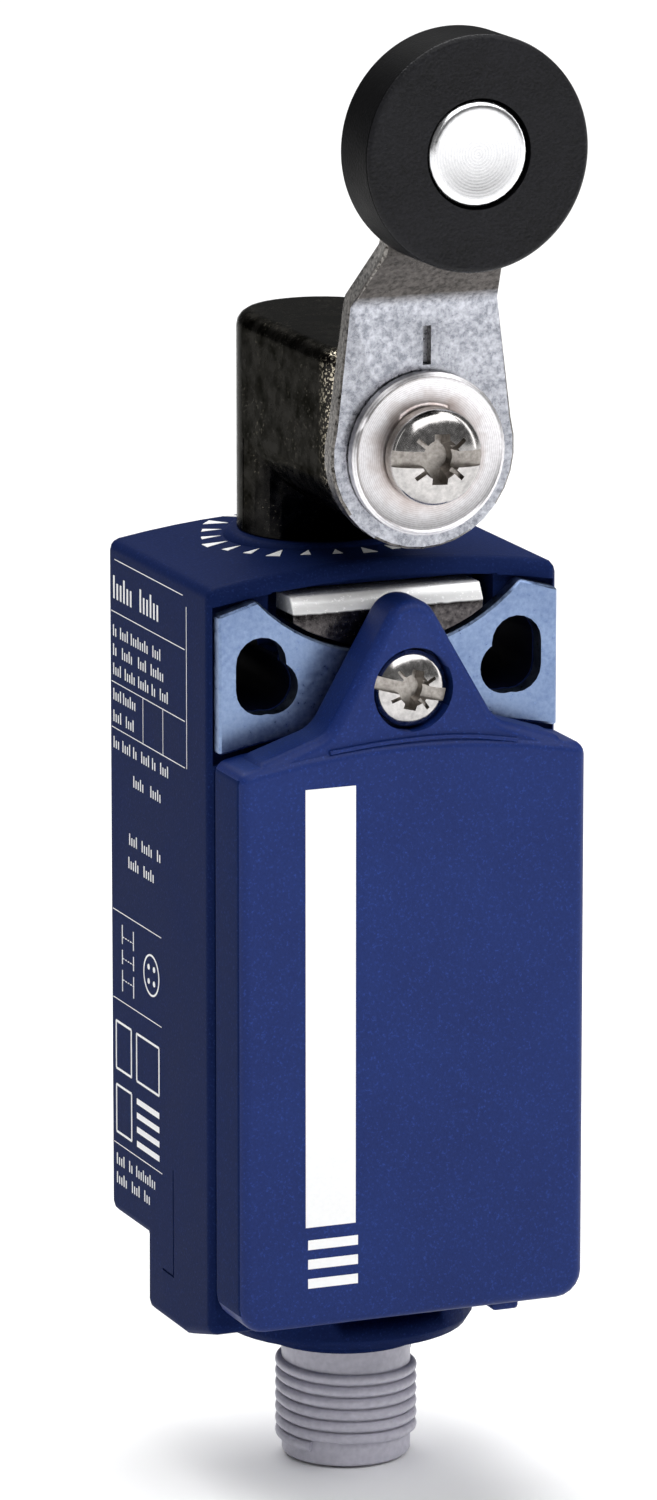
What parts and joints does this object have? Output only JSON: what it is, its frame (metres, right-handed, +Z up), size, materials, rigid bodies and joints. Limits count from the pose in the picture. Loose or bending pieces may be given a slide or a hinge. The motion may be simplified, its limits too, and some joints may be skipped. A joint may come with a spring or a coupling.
{
  "type": "roller lever limit switch",
  "caption": "Compact blue limit switch with a turnable metal head, a sprung steel roller lever, a screwed front cover and a threaded plug underneath.",
  "frame": {"origin": "middle of the rear mounting face, level with the fixing holes", "axes": "+X to the right seen from the cover, +Y out of the rear mounting face, +Z up towards the roller"},
  "size_m": [0.03, 0.0409, 0.1206],
  "materials": {
    "blue_plastic": "fine moulded texture, satin",
    "dark_nickel": "bright dark nickel plate over die-cast zinc",
    "zinc_plate": "bright zinc plate",
    "bright_steel": "nickel-plated steel",
    "black_roller": "satin thermoplastic",
    "black_insulator": "matt thermoset",
    "grey_plastic": "moulded, satin",
    "cream_plastic": "moulded, satin",
    "rubber": "matt",
    "lead_sheath": "smooth insulation",
    "brass": "bright"
  },
  "bodies": {
    "base": {"housing": "blue_plastic", "front_cover": "blue_plastic", "cover_seal": "rubber", "mounting_plate": "zinc_plate", "head_lock_bar": "bright_steel", "cover_screw": "bright_steel", "contact_block": "black_insulator", "m12_plug": "grey_plastic", "fixed_contact_1": "brass", "fixed_contact_2": "brass", "fixed_contact_3": "brass", "fixed_contact_4": "brass", "connector_pin_1": "brass", "connector_pin_2": "brass", "connector_pin_3": "brass", "connector_pin_4": "brass", "lead_1": "lead_sheath", "lead_2": "lead_sheath", "lead_3": "lead_sheath", "lead_4": "lead_sheath", "plunger_spring": "bright_steel", "contact_spring": "bright_steel"},
    "rotary_head": {"head_casing": "dark_nickel", "head_seal": "rubber", "shaft_bushing": "brass", "shaft_seal": "rubber"},
    "lever_arm": {"lever_shaft": "bright_steel", "lever": "bright_steel", "lever_washer": "bright_steel", "lever_screw": "bright_steel", "roller_pin": "bright_steel"},
    "roller_wheel": {"roller": "black_roller"},
    "plunger_rod": {"plunger": "cream_plastic"},
    "contact_carriage": {"contact_carrier": "cream_plastic", "upper_bridge": "brass", "lower_bridge": "brass"}
  },
  "joints": [
    {"name": "head_turn", "type": "hinge", "parent": "base", "child": "rotary_head", "pos_m": [0, -0.0093, 0.00875], "axis": [0, 0, 1], "continuous": true},
    {"name": "lever_turn", "type": "hinge", "parent": "rotary_head", "child": "lever_arm", "pos_m": [0, -0.0302, 0.0185], "axis": [0, -1, 0], "range_deg": [-70, 70], "stiffness_Nm_per_rad": 0.08},
    {"name": "roller_spin", "type": "hinge", "parent": "lever_arm", "child": "roller_wheel", "pos_m": [0, -0.0409, 0.0436], "axis": [0, -1, 0], "continuous": true},
    {"name": "plunger_travel", "type": "slide", "parent": "base", "child": "plunger_rod", "axis": [0, 0, -1], "range_m": [0, 0.003], "stiffness_N_per_m": 300, "springref_m": -0.001, "deforming": ["plunger_spring"]},
    {"name": "contact_travel", "type": "slide", "parent": "base", "child": "contact_carriage", "axis": [0, 0, -1], "range_m": [0, 0.003], "deforming": ["contact_spring"]}
  ],
  "couplings": [
    {"joint": "contact_travel", "follows": "plunger_travel", "ratio": 1}
  ]
}
